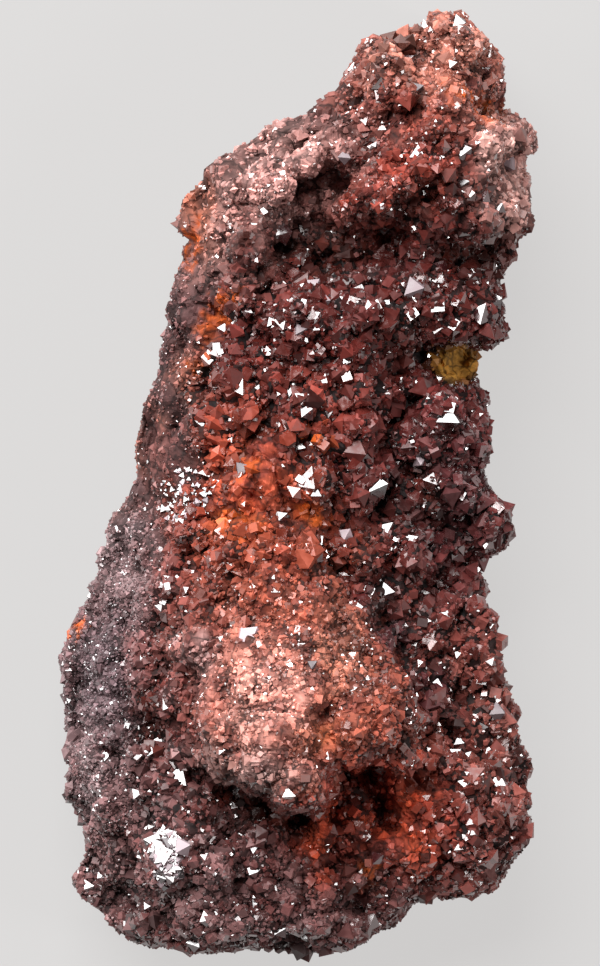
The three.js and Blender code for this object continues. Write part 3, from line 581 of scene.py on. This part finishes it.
# Places with finer crystals, as their edge, how far they spread, x, y, radius in x and radius in y
finer_places = {
    "boss": (0.40, 2, -0.3, -9.6, 4.6, 4.6),
    "foot": (0.5, 2, -2.0, -20.2, 9.0, 3.2),
    "shoulder": (0.34, 1.6, -0.6, 14.8, 3.6, 2.4),
}
edge = np.full(len(lump_points), COMMON_EDGE)
edge += (LEFT_EDGE - edge) * left_share
for finer_edge, reach, *place in finer_places.values():
    edge += (finer_edge - edge) * np.clip(reach * spot(lump_points, *place), 0, 1)
head_share = np.clip((lump_points[:, 1] - HEAD_BLEND_LOW) / HEAD_BLEND_HEIGHT, 0, 1)
edge += (HEAD_EDGE - edge) * head_share
edge[(lump_normals[:, 2] < BACK_SLOPE) & (lump_points[:, 2] < BACK_TOP)] = BACK_EDGE
crowding = 1 / (edge * MM) ** 2

# The ore is painted darker between the crystals, as painted shade, most between the coarse crystals,
# which stand higher over it
FINE_EDGE = 0.35
COARSE_EDGE = 0.65
FINE_GAP_SHADE = 0.5
COARSE_GAP_SHADE = 0.1
gap_shade = np.interp(edge, [FINE_EDGE, COARSE_EDGE], [FINE_GAP_SHADE, COARSE_GAP_SHADE])
edge = np.minimum(edge, FLOOR_EDGE_SHARE * np.maximum(lump_points[:, 2], LOWEST_CRYSTAL))

LEFT_THINNING = 0.15
STRIP_END = -5.0
STRIP_BLEND = 4
STRIP_BARENESS = 0.8
crowding *= 1 - LEFT_THINNING * left_share
smooth_strip = left_share * np.clip((lump_points[:, 1] - STRIP_END) / STRIP_BLEND, 0, 1)
crowding *= 1 - STRIP_BARENESS * smooth_strip

EARTHY_STRENGTH = 1.5
EARTHY_BARENESS = 0.85
EARTHY_LIGHTNESS = 1.25
OCHRE_CORE = 0.42
SLAB_CONTRAST = 6.0
SLAB_LEVEL = 0.5
SLAB_STRENGTH = 1.4
SLAB_MOST = 0.9
GIANT_ROOM = 0.38
bare_ochre = in_ochre > OCHRE_CORE
earthy = sum(EARTHY_STRENGTH * spot(flecked_points, *place) for place in earthy_places)
earthy = np.maximum(np.clip(earthy, 0, 1), bare_ochre)
slab_tops = np.clip(SLAB_CONTRAST * (block_height - SLAB_LEVEL), 0, 1)
slab_share = SLAB_STRENGTH * sum(spot(ragged_points, *place) for place in slab_places)
earthy = np.maximum(earthy, slab_tops * np.clip(slab_share, 0, SLAB_MOST))
crowding *= 1 - EARTHY_BARENESS * earthy
crowding[lump_points[:, 2] < LOWEST_CRYSTAL] = 0
crowding[bare_ochre] = 0
for x, y, size, _ in clean_giants + sheen_giants:
    crowding[np.hypot(lump_points[:, 0] - x, lump_points[:, 1] - y) < GIANT_ROOM * size] = 0

# The parts of the lump whose crystals are one piece each, and the share of clean crystals in each
clean_shares = {
    "head_crystals": 0.45,
    "shoulder_crystals": 0.55,
    "middle_crystals": 0.55,
    "boss_crystals": 0.35,
    "flank_crystals": 0.55,
    "foot_crystals": 0.55,
    "left_crystals": 0.45,
    "back_crystals": 0.3,
}
HEAD_BOTTOM = 11.0
SHOULDER_RIGHT = 2.4
FLANK_LEFT = 4.6
FLANK_TOP = -3.0
FOOT_TOP = -15.8
BOSS_RIM = 0.37
boss_place = (-0.2, -9.8, 6.2, 5.8)
centre = numbers(lump_mesh.polygons, "center", 3) / MM
slope = numbers(lump_mesh.polygons, "normal", 3)[:, 2]
zone = np.zeros(len(centre), np.int32)


def mark(name, where):
    """Puts the faces where something is true in the zone of a name."""
    zone[where] = list(clean_shares).index(name)


mark("middle_crystals", centre[:, 1] <= HEAD_BOTTOM)
mark("head_crystals", centre[:, 1] > HEAD_BOTTOM)
mark("shoulder_crystals", (centre[:, 1] > HEAD_BOTTOM) & (centre[:, 0] < SHOULDER_RIGHT))
mark("flank_crystals", (centre[:, 0] > FLANK_LEFT) & (centre[:, 1] < FLANK_TOP))
mark("boss_crystals", spot(centre, *boss_place) > BOSS_RIM)
mark("foot_crystals", centre[:, 1] < FOOT_TOP)
mark("left_crystals", (centre[:, 0] < along(ridge, centre[:, 1])) & (centre[:, 1] > FOOT_TOP))
mark("back_crystals", (slope < BACK_SLOPE) & (centre[:, 2] < BACK_TOP))


def keep(mesh, name, kind, domain, values):
    """Stores one value for every vertex or face, for the crystals and the materials to read."""
    attribute = mesh.attributes.new(name, kind, domain)
    key = {"FLOAT": "value", "INT": "value", "FLOAT_COLOR": "color"}[kind]
    attribute.data.foreach_set(key, np.ascontiguousarray(values).ravel())


# The ore is lighter on earthy ore and painted darker between the crystals, as painted shade
ore_shade = gap_shade + (EARTHY_LIGHTNESS - gap_shade) * earthy
ore_tone_and_painted_shading = tone_and_painted_shading * ore_shade[:, None]
opaque = np.ones((len(tone_and_painted_shading), 1))
# The colours, with their painted light and shade, are kept for the crystals and the ore
keep(lump_mesh, "tone_and_painted_shading", "FLOAT_COLOR", "POINT", np.concatenate([tone_and_painted_shading, opaque], 1))
keep(lump_mesh, "ore_tone_and_painted_shading", "FLOAT_COLOR", "POINT", np.concatenate([ore_tone_and_painted_shading, opaque], 1))
keep(lump_mesh, "edge", "FLOAT", "POINT", edge * MM)
keep(lump_mesh, "crowding", "FLOAT", "POINT", crowding)
keep(lump_mesh, "zone", "INT", "FACE", zone)


def wire(tree, pairs):
    """Joins sockets of a node tree, each pair from an output to an input."""
    for output, socket in pairs:
        tree.links.new(output, socket)


def add_node(tree, kind, inputs=None, **settings):
    """Adds a node to a tree, with some of its settings and the values of some of its inputs."""
    node = tree.nodes.new(kind)
    for name, value in settings.items():
        setattr(node, name, value)
    for name, value in (inputs or {}).items():
        node.inputs[name].default_value = value
    return node


def ranged(tree, value, source, wanted):
    """A socket's value moved from one range to another, and kept inside it."""
    node = add_node(tree, "ShaderNodeMapRange", {
        "From Min": source[0], "From Max": source[1], "To Min": wanted[0], "To Max": wanted[1],
    })
    wire(tree, [(value, node.inputs["Value"])])
    return node.outputs["Result"]


def scaled(tree, vector, factor):
    """A colour or a direction from a socket, made longer or shorter by a factor from another."""
    node = add_node(tree, "ShaderNodeVectorMath", operation="SCALE")
    wire(tree, [(vector, node.inputs[0]), (factor, node.inputs["Scale"])])
    return node.outputs["Vector"]


GRIT_SCALE = 2600
GRIT_HEIGHT = 0.0001
BLOCK_SCALE = 750
WARP_SCALE = 900
WARP_REACH = 0.0012


def ore_material():
    """Dull stained ore in small blocks with cracks between them, rough and gritty."""
    material = bpy.data.materials.new("stained_ore")
    material.use_nodes = True
    tree = material.node_tree
    shader = tree.nodes["Principled BSDF"]
    shader.inputs["Roughness"].default_value = 0.75
    shader.inputs["Specular IOR Level"].default_value = 0.3
    place = add_node(tree, "ShaderNodeTexCoord").outputs["Object"]
    # The ore's colour, with the painted light and shade of the lump
    stain_and_painted_shading = add_node(tree, "ShaderNodeAttribute", attribute_name="ore_tone_and_painted_shading").outputs["Color"]
    grit = add_node(tree, "ShaderNodeTexNoise", {"Scale": GRIT_SCALE, "Detail": 6})
    bump = add_node(tree, "ShaderNodeBump", {"Strength": 0.6, "Distance": GRIT_HEIGHT})
    warp = add_node(tree, "ShaderNodeTexNoise", {"Scale": WARP_SCALE})
    warped = add_node(tree, "ShaderNodeVectorMath", {1: (WARP_REACH,) * 3}, operation="MULTIPLY_ADD")
    blocks = add_node(tree, "ShaderNodeTexVoronoi", {"Scale": BLOCK_SCALE})
    cracks = add_node(
        tree, "ShaderNodeTexVoronoi", {"Scale": BLOCK_SCALE}, feature="DISTANCE_TO_EDGE"
    )
    wire(tree, [
        (place, grit.inputs["Vector"]),
        (place, warp.inputs["Vector"]),
        (warp.outputs["Color"], warped.inputs[0]),
        (place, warped.inputs[2]),
        (warped.outputs["Vector"], blocks.inputs["Vector"]),
        (warped.outputs["Vector"], cracks.inputs["Vector"]),
        (grit.outputs["Fac"], bump.inputs["Height"]),
        (bump.outputs["Normal"], shader.inputs["Normal"]),
    ])
    gritty = scaled(tree, stain_and_painted_shading, ranged(tree, grit.outputs["Fac"], (0.35, 0.7), (0.55, 1.1)))
    in_blocks = scaled(tree, gritty, ranged(tree, blocks.outputs["Color"], (0.2, 0.8), (0.7, 1.25)))
    cracked = scaled(tree, in_blocks, ranged(tree, cracks.outputs["Distance"], (0, 0.08), (0.3, 1)))
    wire(tree, [(cracked, shader.inputs["Base Color"])])
    return material


lump_mesh.materials.append(ore_material())
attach(lump, "root")
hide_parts("cuprite_specimen")

# The crystals
# Small flat-faced crystals of cuprite, octahedra, blunter ones and some cubes, grown into each other
# all over the lump. Most are dulled by a dusty film, and some are clean enough to flash. They are
# strewn over one part of the lump after another.
FILM_SCALE = 3200
FILM_HEIGHT = 0.00003


def crystal_material(name, index, rough, shades, grain):
    """Dark red crystal: each has a random shade of the stain, darker on deep ones as painted shade,
    under a dusty or a thin film.
    """
    material = bpy.data.materials.new(name)
    material.use_nodes = True
    tree = material.node_tree
    shader = tree.nodes["Principled BSDF"]
    shader.inputs["IOR"].default_value = index
    place = add_node(tree, "ShaderNodeTexCoord").outputs["Object"]
    # The colour of the lump under the crystal, with its painted light and shade
    stain_and_painted_shading = add_node(tree, "ShaderNodeAttribute", attribute_name="tone_and_painted_shading").outputs["Color"]
    own_and_depth_shade = add_node(tree, "ShaderNodeAttribute", attribute_name="own_and_depth_shade").outputs["Fac"]
    film = add_node(tree, "ShaderNodeTexNoise", {"Scale": FILM_SCALE, "Detail": 4})
    bump = add_node(tree, "ShaderNodeBump", {"Strength": grain, "Distance": FILM_HEIGHT})
    shaded = scaled(tree, stain_and_painted_shading, ranged(tree, own_and_depth_shade, (0, 1), shades))
    film_and_sheen = scaled(tree, shaded, ranged(tree, film.outputs["Fac"], (0.3, 0.7), (0.8, 1.15)))
    wire(tree, [
        (place, film.inputs["Vector"]),
        (film_and_sheen, shader.inputs["Base Color"]),
        (ranged(tree, film.outputs["Fac"], (0.3, 0.7), rough), shader.inputs["Roughness"]),
        (film.outputs["Fac"], bump.inputs["Height"]),
        (bump.outputs["Normal"], shader.inputs["Normal"]),
    ])
    return material


dusty_cuprite = crystal_material(
    "dusty_cuprite", index=1.5, rough=(0.3, 0.6), shades=(0.05, 1.8), grain=0.35
)
clean_cuprite = crystal_material(
    "clean_cuprite", index=2.3, rough=(0.04, 0.32), shades=(0.2, 1.3), grain=0.15
)

# Layers of crystals. Their sizes are shares of the edge that belongs to their place, they sink in
# and stand out by shares of their own size, and they have the first so many of the three forms.
LAYERS = {
    "coarse": {"smallest": 1.3, "largest": 1.8, "crowding": 0.12, "sunk": -0.75, "standing": -0.50,
               "forms": 1, "clean": 0.2},
    "common": {"smallest": 0.6, "largest": 1.2, "crowding": 2.2, "sunk": -0.50, "standing": -0.12,
               "forms": 3, "clean": 1.0},
    "fine": {"smallest": 0.25, "largest": 0.5, "crowding": 4.6, "sunk": -0.30, "standing": 0.20,
             "forms": 2, "clean": 1.0},
}
CUBE_EDGE = 0.72
BLUNT_RADIUS = 0.6
LEAST_STRETCH = 0.8
MOST_STRETCH = 1.2

# How far a crystal's shade follows from how far it stands out: the deep ones are painted darker as
# painted shade
DEPTH_SHARE = 0.65


def crystal_tree():
    """Strews octahedra, blunt ones and cubes, in three layers, over one zone of a surface."""
    tree = bpy.data.node_groups.new("strewn_crystals", "GeometryNodeTree")
    sockets = tree.interface
    sockets.new_socket("Surface", in_out="INPUT", socket_type="NodeSocketGeometry")
    for name, kind in (
        ("Zone", "NodeSocketInt"),
        ("Seed", "NodeSocketInt"),
        ("Crowding", "NodeSocketFloat"),
        ("Clean share", "NodeSocketFloat"),
        ("Dusty material", "NodeSocketMaterial"),
        ("Clean material", "NodeSocketMaterial"),
    ):
        sockets.new_socket(name, in_out="INPUT", socket_type=kind)
    sockets.new_socket("Crystals", in_out="OUTPUT", socket_type="NodeSocketGeometry")
    given = add_node(tree, "NodeGroupInput")
    draws = count()

    def feed(socket, value):
        """Gives a socket a plain value, or the value of another socket."""
        if isinstance(value, bpy.types.NodeSocket):
            wire(tree, [(value, socket)])
        else:
            socket.default_value = value

    def stored(name, kind="FLOAT"):
        """The value of an attribute of the surface or of the crystals."""
        node = add_node(tree, "GeometryNodeInputNamedAttribute", {"Name": name}, data_type=kind)
        return node.outputs["Attribute"]

    def multiplied(first, second):
        """The product of two values."""
        node = add_node(tree, "ShaderNodeMath", operation="MULTIPLY")
        feed(node.inputs[0], first)
        feed(node.inputs[1], second)
        return node.outputs["Value"]

    def next_seed():
        """The seed of the tree, moved on by one for each draw."""
        node = add_node(tree, "FunctionNodeIntegerMath", {1: next(draws)}, operation="ADD")
        wire(tree, [(given.outputs["Seed"], node.inputs[0])])
        return node.outputs[0]

    def drawn_at_random(kind, low, high):
        """A random value for each crystal, and for a vector three between the same limits."""
        node = add_node(tree, "FunctionNodeRandomValue", data_type=kind)
        wanted = {"FLOAT_VECTOR": "VECTOR", "FLOAT": "VALUE", "INT": "INT"}[kind]
        lowest, highest = [socket for socket in node.inputs if socket.type == wanted][:2]
        lowest.default_value = (low,) * 3 if wanted == "VECTOR" else low
        highest.default_value = (high,) * 3 if wanted == "VECTOR" else high
        feed(node.inputs["Seed"], next_seed())
        return next(socket for socket in node.outputs if socket.type == wanted)

    def compared(first, second, kind, operation):
        """Whether two values compare as asked."""
        node = add_node(tree, "FunctionNodeCompare", data_type=kind, operation=operation)
        wanted = "INT" if kind == "INT" else "VALUE"
        left, right = [socket for socket in node.inputs if socket.type == wanted][:2]
        feed(left, first)
        feed(right, second)
        return node.outputs["Result"]

    def labelled(geometry, name, value):
        """The points with a value stored on each."""
        kind = "GeometryNodeStoreNamedAttribute"
        node = add_node(tree, kind, {"Name": name}, data_type="FLOAT", domain="POINT")
        wire(tree, [(geometry, node.inputs["Geometry"]), (value, node.inputs["Value"])])
        return node.outputs["Geometry"]

    octahedron = add_node(tree, "GeometryNodeMeshUVSphere", {
        "Segments": 4, "Rings": 2, "Radius": 1 / math.sqrt(2),
    })
    blunt = add_node(tree, "GeometryNodeMeshUVSphere", {
        "Segments": 4, "Rings": 3, "Radius": BLUNT_RADIUS,
    })
    cube = add_node(tree, "GeometryNodeMeshCube", {"Size": (CUBE_EDGE,) * 3})
    forms = add_node(tree, "GeometryNodeGeometryToInstance")
    # The socket takes the last one that is joined to it first, so the octahedron is the first form
    for form in (cube, blunt, octahedron):
        wire(tree, [(form.outputs["Mesh"], forms.inputs["Geometry"])])
    in_zone = compared(stored("zone", "INT"), given.outputs["Zone"], "INT", "EQUAL")
    joined = add_node(tree, "GeometryNodeJoinGeometry")
    for layer in LAYERS.values():
        strewn = add_node(tree, "GeometryNodeDistributePointsOnFaces", distribute_method="RANDOM")
        rank = drawn_at_random("FLOAT", 0.0, 1.0)
        height = ranged(tree, rank, (0, 1), (layer["sunk"], layer["standing"]))
        density = multiplied(stored("crowding"), given.outputs["Crowding"])
        seed = next_seed()
        size = multiplied(
            stored("edge"), drawn_at_random("FLOAT", layer["smallest"], layer["largest"])
        )
        lifted = add_node(tree, "GeometryNodeSetPosition")
        outward = scaled(tree, strewn.outputs["Normal"], multiplied(size, height))
        wire(tree, [
            (given.outputs["Surface"], strewn.inputs["Mesh"]),
            (in_zone, strewn.inputs["Selection"]),
            (multiplied(density, layer["crowding"]), strewn.inputs["Density"]),
            (seed, strewn.inputs["Seed"]),
            (strewn.outputs["Points"], lifted.inputs["Geometry"]),
            (outward, lifted.inputs["Offset"]),
        ])
        # Each crystal's shade: a random share mixed with painted shade that darkens the deeply sunk
        # ones
        own_and_depth_shade = add_node(tree, "ShaderNodeMix", {"Factor": DEPTH_SHARE}, data_type="FLOAT")
        wire(tree, [(drawn_at_random("FLOAT", 0.0, 1.0), own_and_depth_shade.inputs["A"]), (rank, own_and_depth_shade.inputs["B"])])
        shaded = labelled(lifted.outputs["Geometry"], "own_and_depth_shade", own_and_depth_shade.outputs["Result"])
        clean_share = multiplied(given.outputs["Clean share"], layer["clean"])
        is_clean = compared(drawn_at_random("FLOAT", 0.0, 1.0), clean_share, "FLOAT", "LESS_THAN")
        turned = add_node(tree, "FunctionNodeEulerToRotation")
        grown = add_node(tree, "GeometryNodeInstanceOnPoints", {"Pick Instance": True})
        wire(tree, [
            (labelled(shaded, "shine", is_clean), grown.inputs["Points"]),
            (forms.outputs["Instances"], grown.inputs["Instance"]),
            (drawn_at_random("INT", 0, layer["forms"] - 1), grown.inputs["Instance Index"]),
            (drawn_at_random("FLOAT_VECTOR", 0.0, 2 * math.pi), turned.inputs["Euler"]),
            (turned.outputs["Rotation"], grown.inputs["Rotation"]),
        ])
        stretch = drawn_at_random("FLOAT_VECTOR", LEAST_STRETCH, MOST_STRETCH)
        wire(tree, [
            (scaled(tree, stretch, size), grown.inputs["Scale"]),
            (grown.outputs["Instances"], joined.inputs["Geometry"]),
        ])
    realized = add_node(tree, "GeometryNodeRealizeInstances")
    flat = add_node(tree, "GeometryNodeSetShadeSmooth", {"Shade Smooth": False})
    dusted = add_node(tree, "GeometryNodeSetMaterial")
    finished = add_node(tree, "GeometryNodeSetMaterial")
    result = add_node(tree, "NodeGroupOutput")
    wire(tree, [
        (joined.outputs["Geometry"], realized.inputs["Geometry"]),
        (realized.outputs["Geometry"], flat.inputs["Geometry"]),
        (flat.outputs["Geometry"], dusted.inputs["Geometry"]),
        (given.outputs["Dusty material"], dusted.inputs["Material"]),
        (dusted.outputs["Geometry"], finished.inputs["Geometry"]),
        (compared(stored("shine"), 0.5, "FLOAT", "GREATER_THAN"), finished.inputs["Selection"]),
        (given.outputs["Clean material"], finished.inputs["Material"]),
        (finished.outputs["Geometry"], result.inputs["Crystals"]),
    ])
    return tree


def strew(tree, name, surface, settings):
    """Runs the tree on a surface and returns the crystals as a plain mesh object."""
    source = bpy.data.objects.new(name + "_source", surface.data)
    bpy.context.scene.collection.objects.link(source)
    modifier = source.modifiers.new("crystals", "NODES")
    modifier.node_group = tree
    for item in tree.interface.items_tree:
        if item.in_out == "INPUT" and item.name in settings:
            modifier[item.identifier] = settings[item.name]
    shown = source.evaluated_get(bpy.context.evaluated_depsgraph_get())
    mesh = bpy.data.meshes.new_from_object(shown)
    bpy.data.objects.remove(source)
    mesh.name = name
    made = bpy.data.objects.new(name, mesh)
    bpy.context.scene.collection.objects.link(made)
    return made


FIRST_SEED = 1100
SEED_STEP = 200
strewn_crystals = crystal_tree()
for number, (name, clean_share) in enumerate(clean_shares.items()):
    crystals = strew(strewn_crystals, name, lump, {
        "Zone": number,
        "Seed": FIRST_SEED + SEED_STEP * number,
        "Crowding": 1.0,
        "Clean share": clean_share,
        "Dusty material": dusty_cuprite,
        "Clean material": clean_cuprite,
    })
    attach(crystals, "root")
    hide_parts("cuprite_specimen")

# The large crystals
# The single crystals and the glittering patches listed above: octahedra of cuprite sunk in the ore.
# One face of each lies nearly level, tipped a little towards the tip of the lump.
TIPPED = Vector((-0.15, 0.36, 0.92)).normalized()
FACE_HEIGHT = 0.1
FACE_HEIGHT_SHARE = 0.08
UNEVENNESS = 0.16
GIANT_TILT = 0.1
GLITTER_TILT = 0.14
# The share of glittering crystals painted the lavender grey sheen
GLITTER_SHEEN_SHARE = 0.25
CLEAN_TONE = "#4a2022"
# Pale lavender grey, painted sheen
PAINTED_SHEEN_TONE = "#9a878c"
ABOVE_ALL = 50
CORNERS = 6
FACES = 8
chance = np.random.default_rng(11)
ground = BVHTree.FromObject(lump, bpy.context.evaluated_depsgraph_get())


def giant(x, y, size, turn, normal):
    """The corners of an octahedron, sunk into the lump with one face along a normal."""
    foot = ground.ray_cast(Vector((x, y, ABOVE_ALL)) * MM, Vector((0, 0, -1)))[0] / MM
    reach = size / math.sqrt(2)
    up = Vector((0, 1, 0)) - normal * normal.y
    up.rotate(Matrix.Rotation(math.radians(turn), 3, normal))
    up.normalize()
    aside = normal.cross(up)
    middle = foot + normal * (FACE_HEIGHT + FACE_HEIGHT_SHARE * size - reach / math.sqrt(3))
    corners = []
    for third in range(3):
        angle = 2 * math.pi * third / 3
        outward = up * math.cos(angle) + aside * math.sin(angle)
        arm = normal * (reach / math.sqrt(3)) + outward * (reach * math.sqrt(2 / 3))
        arm *= 1 + chance.uniform(-UNEVENNESS, UNEVENNESS)
        corners += [middle + arm, middle - arm]
    return [corner * MM for corner in corners]


def tipped(most):
    """The direction of a bright face, tilted a little at random."""
    return (TIPPED + Vector(chance.uniform(-most, most, 3))).normalized()


placed = [(giant(*place, tipped(GIANT_TILT)), CLEAN_TONE, 1) for place in clean_giants]
# The lavender grey ones carry a painted sheen, in the dusty material
placed += [(giant(*place, tipped(GIANT_TILT)), PAINTED_SHEEN_TONE, 0) for place in sheen_giants]
for x, y, radius, how_many, smallest, largest in glittering:
    for _ in range(how_many):
        away = radius * math.sqrt(chance.random())
        angle = chance.uniform(0, 2 * math.pi)
        corners = giant(
            x + away * math.cos(angle), y + away * math.sin(angle),
            chance.uniform(smallest, largest), chance.uniform(0, 360), tipped(GLITTER_TILT),
        )
        # Some glittering crystals are painted the lavender grey sheen instead of flashing
        film_and_sheen = chance.random() < GLITTER_SHEEN_SHARE
        placed.append((corners, PAINTED_SHEEN_TONE if film_and_sheen else CLEAN_TONE, 0 if film_and_sheen else 1))
corners = [corner for crystal in placed for corner in crystal[0]]
faces = []
for number in range(len(placed)):
    for i in (0, 1):
        for j in (0, 1):
            for k in (0, 1):
                face = [CORNERS * number + corner for corner in (i, 2 + j, 4 + k)]
                faces.append(face if (i + j + k) % 2 == 0 else face[::-1])
giants_mesh = bpy.data.meshes.new("large_crystals")
giants_mesh.from_pydata(corners, [], faces)
giant_tones_and_sheen = [(*linear(colour), 1.0) for _, colour, _ in placed]
keep(giants_mesh, "tone_and_painted_shading", "FLOAT_COLOR", "POINT", np.repeat(giant_tones_and_sheen, CORNERS, axis=0))
keep(giants_mesh, "own_and_depth_shade", "FLOAT", "POINT", np.repeat(chance.random(len(placed)), CORNERS))
giants_mesh.materials.append(dusty_cuprite)
giants_mesh.materials.append(clean_cuprite)
shines = np.array([shine for _, _, shine in placed], np.int32)
giants_mesh.polygons.foreach_set("material_index", np.repeat(shines, FACES))
giants = bpy.data.objects.new("large_crystals", giants_mesh)
bpy.context.scene.collection.objects.link(giants)
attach(giants, "root")
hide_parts("cuprite_specimen")

# The floor
# A plain pale floor that the specimen lies on. It isn't part of the specimen.
FLOOR_SIZE = 6.0
floor_mesh = bpy.data.meshes.new("floor")
half = FLOOR_SIZE / 2
floor_mesh.from_pydata(
    [(-half, -half, 0), (half, -half, 0), (half, half, 0), (-half, half, 0)], [], [(0, 1, 2, 3)]
)
floor = bpy.data.objects.new("floor", floor_mesh)
bpy.context.scene.collection.objects.link(floor)
floor_paint = bpy.data.materials.new("pale_floor")
floor_paint.use_nodes = True
floor_shader = floor_paint.node_tree.nodes["Principled BSDF"]
floor_shader.inputs["Base Color"].default_value = (0.05, 0.05, 0.05, 1)
floor_shader.inputs["Roughness"].default_value = 0.8
floor_shader.inputs["Emission Color"].default_value = (1.0, 0.98, 0.97, 1)
floor_shader.inputs["Emission Strength"].default_value = 0.6
floor_mesh.materials.append(floor_paint)

# The light
# Plain soft studio light: one large lamp beyond the tip and above, a weak one on either side, and a
# pale room all round.
MIDDLE = Vector((0, 0, 0.006))


def lamp(name, towards, distance, size, power):
    """A square soft lamp that stands towards one side of the specimen and shines at it."""
    direction = Vector(towards).normalized()
    light = bpy.data.lights.new(name, "AREA")
    light.size = size
    light.energy = power
    stand = bpy.data.objects.new(name, light)
    stand.location = MIDDLE + direction * distance
    stand.rotation_euler = (-direction).to_track_quat("-Z", "Y").to_euler()
    bpy.context.scene.collection.objects.link(stand)


lamp("key_lamp", (-0.30, 0.72, 0.75), distance=0.6, size=0.5, power=9.2)
lamp("left_lamp", (-0.85, 0.2, 0.6), distance=0.7, size=0.2, power=1.0)
lamp("right_lamp", (0.9, -0.2, 0.7), distance=0.8, size=0.15, power=2.0)
room = bpy.data.worlds.new("pale_room")
room.use_nodes = True
room.node_tree.nodes["Background"].inputs["Color"].default_value = (0.86, 0.77, 0.75, 1)
room.node_tree.nodes["Background"].inputs["Strength"].default_value = 0.09
bpy.context.scene.world = room

# The camera
# It looks straight down on the specimen, which gives the photograph's view of it with the tip at
# the top. The lens is long, so there is hardly any perspective.
PICTURE_CENTRE = Vector((0.2, 0.05, 6.0)) * MM
PICTURE_HEIGHT = 48.3 * MM
LENS = 300
SENSOR = 36
camera_data = bpy.data.cameras.new("camera")
camera_data.lens = LENS
camera_data.sensor_width = SENSOR
camera_data.clip_start = 0.01
camera_data.clip_end = 20
camera = bpy.data.objects.new("camera", camera_data)
camera.location = PICTURE_CENTRE + Vector((0, 0, PICTURE_HEIGHT * LENS / SENSOR))
bpy.context.scene.collection.objects.link(camera)
bpy.context.scene.camera = camera
bpy.context.scene.view_settings.view_transform = "Standard"
